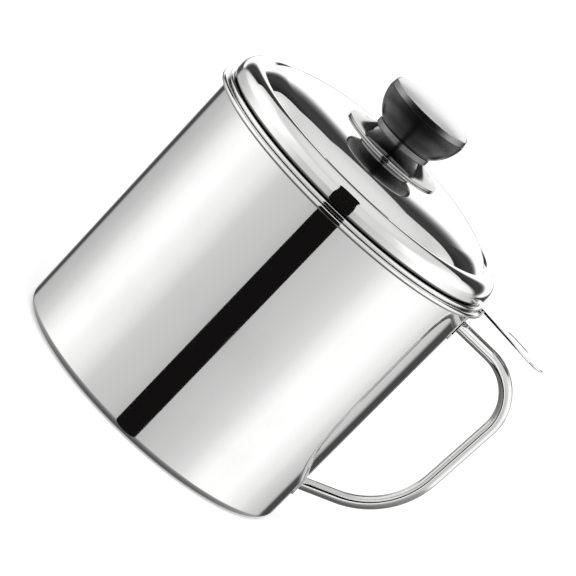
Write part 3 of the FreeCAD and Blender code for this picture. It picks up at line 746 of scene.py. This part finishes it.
def makeCanister(size):
    gauge, top = size["gauge"], size["height"]
    roll, reach = size["rollRadius"], size["rimRadius"] + size["rimReach"]
    inner = size["rimRadius"] - gauge
    under = top - gauge
    # The rim's sheet runs out level and rolls down and back under itself.
    lastAngle = -180 - math.degrees(math.asin((roll - gauge) / roll))
    rollUnder = arc(reach, top - roll, roll, 90, lastAngle, 30)
    outline = [
        (0, 0),
        (size["footRadius"], 0),
        (size["rimRadius"], under),
        *reversed(rollUnder),
        (inner, top),
        (wallRadius(size, gauge) - gauge, gauge),
        (0, gauge),
    ]
    shell = turnedPiece("canisterShell", outline, size["steps"], closed=False)
    bevelRings(shell, [(size["footRadius"], 0)], size["footRound"], 12)
    bevelRings(shell, [(wallRadius(size, gauge) - gauge, gauge)],
               size["footRound"] - gauge, 10)
    bevelRings(shell, [(inner, top)], size["mouthRound"], 8)
    bevelRings(shell, [(size["rimRadius"], under)], size["underRound"], 4)
    return shell


canisterSteel = metalMaterial("drawnCanisterSteel", sheetSteelLook)
dullInside(canisterSteel, canister, {"roughness": 0.4, "metallic": 0.45, "sheetBlend": 0.05,
                                     "footBlend": 0.4})
finishPiece(makeCanister(canister), "canister", "canister_body", canisterSteel)


handle = {"rod": 2.55, "armHeight": 99.0, "gripReach": 34.5, "gripLean": 4.5, "gripDrop": 68.3,
          "footHeight": 17.1, "upperBend": 18.5, "lowerBend": 34.0, "plateGauge": 0.6,
          "plateWidth": 10.0, "upperPlate": 11.5, "lowerPlate": 8.4, "plateCorner": 2.6,
          "plateRound": 0.15, "sink": 0.05, "around": 48, "bendSteps": 28, "wallFacets": 720}


def rodPath(size, wall, startX):
    # Straights (dx, dz) and bends (middle x, middle z, turn) of the handle's middle line.
    upperX, upperZ = wall["rimRadius"] + size["gripReach"], size["armHeight"]
    lowerX, lowerZ = upperX - size["gripLean"], upperZ - size["gripDrop"]
    footX, footZ = wall["footRadius"], size["footHeight"]
    gripAngle = math.atan2(lowerZ - upperZ, lowerX - upperX)
    footAngle = math.atan2(footZ - lowerZ, footX - lowerX)
    upperTurn = -gripAngle
    lowerTurn = gripAngle - footAngle
    if lowerTurn < 0:
        lowerTurn += 2 * math.pi
    upperCut = size["upperBend"] * math.tan(upperTurn / 2)
    lowerCut = size["lowerBend"] * math.tan(lowerTurn / 2)
    gripRun = math.hypot(size["gripLean"], size["gripDrop"]) - upperCut - lowerCut
    footRun = math.hypot(lowerX - footX, lowerZ - footZ) - lowerCut
    bendX = lowerX - math.cos(gripAngle) * lowerCut
    bendZ = lowerZ - math.sin(gripAngle) * lowerCut
    return [
        (upperX - upperCut - startX, 0),
        (upperX - upperCut, upperZ - size["upperBend"], upperTurn),
        (math.cos(gripAngle) * gripRun, math.sin(gripAngle) * gripRun),
        (bendX + math.sin(gripAngle) * size["lowerBend"],
         bendZ - math.cos(gripAngle) * size["lowerBend"], lowerTurn),
        (math.cos(footAngle) * footRun, math.sin(footAngle) * footRun),
    ]


def makeRod(size, wall):
    # The ends sink a little into the plates behind them.
    behind = size["plateGauge"] - size["sink"]
    startX = wallRadius(wall, size["armHeight"]) + behind
    deselectAll()
    bpy.ops.mesh.primitive_circle_add(
        vertices=size["around"], radius=size["rod"] * mm,
        location=(startX * mm, 0, size["armHeight"] * mm), rotation=(0, math.pi / 2, 0))
    rod = bpy.context.object
    rod.name = "handleRod"
    bakePlace(rod)
    editPiece(rod)
    selectAll()
    for x, z, *turn in rodPath(size, wall, startX):
        spot = (x * mm, 0, z * mm)
        if turn:
            bpy.ops.mesh.spin(steps=size["bendSteps"], angle=-turn[0], axis=(0, 1, 0),
                              center=spot)
        else:
            bpy.ops.mesh.extrude_edges_move(TRANSFORM_OT_translate={"value": spot})
    selectAll()
    endX = wallRadius(wall, size["footHeight"]) + behind
    bpy.ops.mesh.bisect(plane_co=(endX * mm, 0, size["footHeight"] * mm), plane_no=(1, 0, 0),
                        clear_inner=True)
    selectAll()
    bpy.ops.mesh.fill_holes(sides=0)
    faceOutwards()
    return rod


def makePlate(name, middle, tall, size, wall):
    # A window cut from the wall's own cone, thickened outwards.
    low, high = middle - tall / 2, middle + tall / 2
    deselectAll()
    bpy.ops.mesh.primitive_cone_add(
        vertices=size["wallFacets"], radius1=wallRadius(wall, low) * mm,
        radius2=wallRadius(wall, high) * mm, depth=tall * mm, end_fill_type="NOTHING",
        location=(0, 0, middle * mm))
    plate = bpy.context.object
    plate.name = name
    bakePlace(plate)
    editPiece(plate)
    half = size["plateWidth"] / 2 * mm
    for spot, away in (((0, 0, 0), (-1, 0, 0)), ((0, half, 0), (0, 1, 0)),
                       ((0, -half, 0), (0, -1, 0))):
        selectAll()
        bpy.ops.mesh.bisect(plane_co=spot, plane_no=away, clear_outer=True)
    bpy.ops.mesh.select_mode(type="VERT")
    bpy.ops.mesh.select_all(action="DESELECT")
    leaveEdit()
    for vertex in plate.data.vertices:
        vertex.select = abs(abs(vertex.co.y) - half) < mergeReach
    bpy.ops.object.mode_set(mode="EDIT")
    bpy.ops.mesh.bevel(offset=size["plateCorner"] * mm, segments=6, affect="VERTICES")
    leaveEdit()
    thickenSheet(plate, size["plateGauge"], 1, size["plateRound"], 2, 50)
    return plate


finishPiece(makeRod(handle, canister), "canister", "handle_rod", rodSteel, 50)
for plateName, node, middle, tall in (
    ("upperPlate", "upper_handle_plate", handle["armHeight"], handle["upperPlate"]),
    ("lowerPlate", "lower_handle_plate", handle["footHeight"], handle["lowerPlate"]),
):
    finishPiece(makePlate(plateName, middle, tall, handle, canister), "canister", node, sheetSteel)


strainer = {"cupRadius": 58.5, "footRadius": 57.5, "floor": 87.7, "gauge": 0.6, "footRound": 2.0,
            "mouthRound": 1.0, "underRound": 0.4, "hemReach": 2.0, "hemRadius": 0.8,
            "hemHeight": 109.6, "window": 50.8, "steps": 288,
            "ringInner": 50.8, "ringOuter": 55.2, "ringGauge": 0.6, "ringLift": 0.5,
            "ringRound": 0.2, "netRadius": 53.6, "netPitch": 1.4, "netWire": 0.17,
            "netWave": 0.08, "netLift": 0.25}


def makeCup(size):
    gauge = size["gauge"]
    top = size["hemHeight"] + size["hemRadius"]
    reach = size["cupRadius"] + size["hemReach"]
    half = size["hemRadius"] - gauge
    lastAngle = -180 - math.degrees(math.asin(half / size["hemRadius"]))
    hem = arc(reach, size["hemHeight"], size["hemRadius"], 90, lastAngle, 24)
    outline = [
        (size["window"], size["floor"]),
        (size["footRadius"], size["floor"]),
        (size["cupRadius"], top - gauge),
        *reversed(hem),
        (size["cupRadius"] - gauge, top),
        (size["footRadius"] - gauge, size["floor"] + gauge),
        (size["window"], size["floor"] + gauge),
    ]
    cup = turnedPiece("strainerCup", outline, size["steps"])
    bevelRings(cup, [(size["footRadius"], size["floor"])], size["footRound"], 8)
    bevelRings(cup, [(size["footRadius"] - gauge, size["floor"] + gauge)],
               size["footRound"] - gauge, 6)
    bevelRings(cup, [(size["cupRadius"] - gauge, top)], size["mouthRound"], 6)
    bevelRings(cup, [(size["cupRadius"], top - gauge)], size["underRound"], 3)
    return cup


def makeClampRing(size):
    low = size["floor"] + size["gauge"] + size["ringLift"]
    high = low + size["ringGauge"]
    ring = turnedPiece("clampRing", [(size["ringInner"], low), (size["ringOuter"], low),
                                     (size["ringOuter"], high), (size["ringInner"], high)],
                       size["steps"])
    bevelRings(ring, [(size["ringInner"], high), (size["ringOuter"], high)],
               size["ringRound"], 3)
    return ring


def makeNet(size):
    # Wavy wires across and then the other way, as plain weave.
    pitch, radius = size["netPitch"], size["netRadius"]
    count = int(radius / pitch)
    level = size["floor"] + size["gauge"] + size["netLift"]
    net = oneVertex("strainerNet", 0, 0, 0)
    selectAll()
    bpy.ops.mesh.delete(type="VERT")
    leaveEdit()
    shape = bmesh.new()
    for across, line in ((across, line) for across in (0, 1) for line in range(-count, count + 1)):
        offset = line * pitch
        chord = math.sqrt(radius * radius - offset * offset)
        first = math.ceil(-chord / pitch * 2)
        last = math.floor(chord / pitch * 2)
        before = None
        for step in range(first, last + 1):
            along = step * pitch / 2
            up = math.cos(math.pi * (step / 2 + line)) * size["netWave"] * (-1 if across else 1)
            spot = (offset, along) if across else (along, offset)
            vertex = shape.verts.new((spot[0] * mm, spot[1] * mm, (level + up) * mm))
            if before:
                shape.edges.new((before, vertex))
            before = vertex
    shape.to_mesh(net.data)
    shape.free()
    pickPiece(net)
    bpy.ops.object.convert(target="CURVE")
    net = bpy.context.object
    net.data.bevel_depth = size["netWire"] * mm
    net.data.bevel_resolution = 0
    net.data.use_fill_caps = True
    bpy.ops.object.convert(target="MESH")
    return bpy.context.object


tab = {"root": 8.8, "end": 12.4, "reach": 32.0, "gauge": 1.0, "tilt": 3.3, "hemClear": 0.72,
       "edgeRound": 0.3, "dentLength": 13.6, "dentWidth": 6.6, "dentDepth": 0.22,
       # Rings of the pressed dent: how far each draws in, and its share of the depth.
       "dentRings": ((0.93, 0.12), (0.86, 0.45), (0.93, 0.33), (0.95, 0.1)), "dentEnds": 0.55}


def selectDentLoop(blade, first, last, rise):
    # Selects the edges that run round the dent's outline.
    points = blade.data.vertices
    for edge in blade.data.edges:
        near = []
        for spot in (points[index].co for index in edge.vertices):
            x = spot.x / mm
            nearest = min(max(x, first), last)
            near.append(abs(math.hypot(x - nearest, spot.y / mm) - rise) < findReach / mm)
        edge.select = all(near)


def makeTab(size, cup):
    end = size["end"] / 2
    straight = size["reach"] - end
    root = size["root"] / 2
    outline = [(size["hemClear"], -root), *arc(straight, 0, end, -90, 90, 28),
               (size["hemClear"], root)]
    rise = size["dentWidth"] / 2
    first = straight - size["dentLength"] + rise
    last = straight - rise
    middle = (first + last) / 2
    blade = flatLoop("strainerTab", outline)
    dent = flatLoop("dentLoop", arc(last, 0, rise, -90, 90, 18) + arc(first, 0, rise, 90, 270, 18))
    pickPiece(blade)
    dent.select_set(True)
    bpy.ops.object.join()
    editPiece(blade)
    selectAll()
    bpy.ops.mesh.fill(use_beauty=True)
    bpy.ops.mesh.select_mode(type="EDGE")
    bpy.ops.mesh.select_all(action="DESELECT")
    leaveEdit()
    selectDentLoop(blade, first, last, rise)
    bpy.ops.object.mode_set(mode="EDIT")
    for share, drop in size["dentRings"]:
        bpy.ops.mesh.extrude_edges_move(
            TRANSFORM_OT_translate={"value": (0, 0, -drop * size["dentDepth"] * mm)})
        bpy.ops.transform.resize(value=(1 - (1 - share) * size["dentEnds"], share, 1),
                                 center_override=(middle * mm, 0, 0))
    bpy.ops.mesh.edge_face_add()
    faceOutwards()
    if blade.data.polygons[0].normal.z < 0:
        blade.data.flip_normals()
    thickenSheet(blade, size["gauge"], 0, size["edgeRound"], 3, 60)
    blade.rotation_euler = (0, math.radians(size["tilt"]), 0)
    blade.location = ((cup["cupRadius"] + cup["hemReach"]) * mm, 0, cup["hemHeight"] * mm)
    return blade


finishPiece(makeCup(strainer), "strainer", "strainer_cup", sheetSteel)
finishPiece(makeClampRing(strainer), "strainer", "strainer_clamp_ring", sheetSteel)
finishPiece(makeNet(strainer), "strainer", "strainer_net", netWire, 60)
finishPiece(makeTab(tab, strainer), "strainer", "strainer_tab", sheetSteel)


lid = {"radius": 60.3, "gauge": 0.6, "bottom": 110.5, "flank": 3.0, "fold": 1.55,
       "shoulder": 6.0, "creaseRound": 1.2, "creaseRise": 7.8, "domeRise": 8.9,
       "skirt": 7.1, "domeFall": 4.25, "seat": 21.05, "hole": 2.2,
       "neck": 57.6, "neckDepth": 4.9, "neckRound": 0.4, "creaseUnder": 1.3, "steps": 288}


def makeLid(size):
    gauge, bottom, fold = size["gauge"], size["bottom"], size["fold"]
    flankTop = bottom + size["flank"]
    creaseZ = bottom + size["creaseRise"]
    top = creaseZ + size["domeRise"]
    crest = size["radius"] - size["shoulder"]
    crease = crest - size["creaseRound"]
    crestZ = flankTop + size["shoulder"]
    turn = crease - size["skirt"]
    turnZ = top - size["domeFall"]
    run = turn - size["seat"]
    fall, drop = size["domeFall"], turnZ - creaseZ
    crown = (run * run + fall * fall) / (2 * fall)
    # The outer turn leaves the crown along its tangent.
    skirt = ((size["skirt"] ** 2 + drop * drop) * crown
             / (2 * (drop * (crown - fall) - size["skirt"] * run)))
    outer = [
        (size["neck"], bottom),
        *arc(size["radius"] - fold, bottom + fold, fold, -90, 0, 12),
        *arc(crest, flankTop, size["shoulder"], 0, 90, 24),
        *arc(crest, creaseZ, size["creaseRound"], 90, 180, 10),
        *arcThrough((crease, creaseZ), (turn, turnZ), skirt, 1, 24),
        *arcThrough((turn, turnZ), (size["seat"], top), crown, 1, 24),
        (size["hole"], top),
    ]
    inner = [
        (size["hole"], top - gauge),
        *arcThrough((size["seat"], top - gauge), (turn, turnZ - gauge), crown, -1, 12),
        *arcThrough((turn, turnZ - gauge), (crease, creaseZ - gauge * size["creaseUnder"]),
                    skirt, -1, 12),
        (crest, crestZ - gauge),
        *arc(crest, flankTop, size["shoulder"] - gauge, 90, 0, 10),
        *arc(size["radius"] - fold, bottom + fold, fold - gauge, 0, -90, 6),
        (size["neck"] - gauge, bottom + gauge),
        (size["neck"] - gauge, bottom - size["neckDepth"]),
        (size["neck"], bottom - size["neckDepth"]),
    ]
    shell = turnedPiece("lidShell", outer + inner, size["steps"])
    bevelRings(shell, [(size["neck"], bottom)], size["neckRound"], 3)
    return shell


# The lid's colour is darkened at its folded lower edge: painted shade of the seam.
seamShade = {"dark": lid["bottom"] + 0.8, "clear": lid["bottom"] + 1.5, "color": (0.1, 0.1, 0.1)}
paintSeamShade(lidSteel, seamShade)
finishPiece(makeLid(lid), "lid", "lid_shell", lidSteel)


knob = {"base": 127.2, "hole": 2.2, "flareRadius": 20.65, "flareEdge": 0.45,
        "waist": 11.2, "flareHeight": 4.8, "sweep": 14.0,
        "collarRadius": 11.65, "collarBore": 9.0, "collarHeight": 2.2, "collarRound": 0.2,
        "gripFoot": 11.3, "gripRadius": 17.15, "gripHeight": 11.9, "gripTopRound": 0.2,
        "gripFootRound": 0.25, "spigotGap": 0.1, "insert": 3.4, "insertDepth": 8.0,
        "bezelStep": 0.2, "bezelTopStep": 0.4, "bezelHeight": 2.2, "bezelBore": 12.0,
        "bezelFootRound": 0.12, "bezelTopRound": 0.14, "lip": 0.35,
        "capGauge": 0.8, "capRise": 2.4, "capGap": 0.05, "capRound": 0.15, "steps": 192}


def knobLevels(size):
    # Heights where the knob's pieces meet: lid, flare, collar, grip, bezel.
    levels = [size["base"]]
    for piece in ("flare", "collar", "grip", "bezel"):
        levels.append(levels[-1] + size[piece + "Height"])
    return levels


def makeFlare(size):
    edge = size["flareEdge"]
    rimX = size["flareRadius"] - edge
    rimZ = size["base"] + edge
    top = knobLevels(size)[1]
    outline = [
        (size["hole"], size["base"]),
        *arc(rimX, rimZ, edge, -90, 90, 12),
        *arcThrough((rimX, rimZ + edge), (size["waist"], top), size["sweep"], -1, 24),
        (size["hole"], top),
    ]
    return turnedPiece("knobFlare", outline, size["steps"])


def makeCollar(size):
    low, high = knobLevels(size)[1:3]
    collar = turnedPiece("knobCollar", [
        (size["collarBore"], low), (size["collarRadius"], low),
        (size["collarRadius"], high), (size["collarBore"], high)], size["steps"])
    bevelRings(collar, [(size["collarRadius"], low), (size["collarRadius"], high)],
               size["collarRound"], 4)
    return collar


def makeGrip(size):
    low, foot, top = knobLevels(size)[1:4]
    spigot = size["collarBore"] - size["spigotGap"]
    bore = low + size["insertDepth"]
    run = size["gripRadius"] - size["gripFoot"]
    bowl = (run * run + size["gripHeight"] ** 2) / (2 * run)
    outline = [
        (size["insert"], low), (spigot, low), (spigot, foot),
        *arcThrough((size["gripFoot"], foot), (size["gripRadius"], top), bowl, 1, 36),
        (0, top), (0, bore), (size["insert"], bore),
    ]
    grip = turnedPiece("knobGrip", outline, size["steps"])
    bevelRings(grip, [(size["gripRadius"], top)], size["gripTopRound"], 3)
    bevelRings(grip, [(size["gripFoot"], foot)], size["gripFootRound"], 3)
    return grip


def makeBezel(size):
    low, high = knobLevels(size)[3:5]
    foot = size["gripRadius"] - size["bezelStep"]
    rim = size["gripRadius"] - size["bezelTopStep"]
    pocket = rim - size["lip"]
    ledge = high - size["capGauge"]
    bezel = turnedPiece("knobBezel", [
        (size["bezelBore"], low), (foot, low), (rim, high), (pocket, high),
        (pocket, ledge), (size["bezelBore"], ledge)], size["steps"])
    bevelRings(bezel, [(foot, low)], size["bezelFootRound"], 2)
    bevelRings(bezel, [(rim, high)], size["bezelTopRound"], 3)
    return bezel


def makeCap(size):
    high = knobLevels(size)[4]
    rim = size["gripRadius"] - size["bezelTopStep"] - size["lip"] - size["capGap"]
    rise, gauge = size["capRise"], size["capGauge"]
    dome = (rim * rim + rise * rise) / (2 * rise)
    outline = [
        *arcThrough((0, high + rise - gauge), (rim, high - gauge), dome, -1, 12),
        *arcThrough((rim, high), (0, high + rise), dome, 1, 36),
    ]
    cap = turnedPiece("knobCap", outline, size["steps"], closed=False)
    bevelRings(cap, [(rim, high)], size["capRound"], 3)
    return cap


finishPiece(makeFlare(knob), "lid", "knob_flare", flarePaintedShadeSteel)
finishPiece(makeCollar(knob), "lid", "knob_collar", collarPaintedShadeSteel)
finishPiece(makeGrip(knob), "lid", "knob_grip", blackMoulding)
finishPiece(makeBezel(knob), "lid", "knob_bezel", bezelMoulding)
finishPiece(makeCap(knob), "lid", "knob_cap", capPaintedLightSteel)


nodeFinish.update(knob_screw=screwSteel, knob_washer=screwSteel, knob_insert=insertBrass)
for node, finish in nodeFinish.items():
    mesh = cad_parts[node].data
    mesh.materials.clear()
    mesh.materials.append(finish)
print("finishes given to", len(nodeFinish), "nodes")
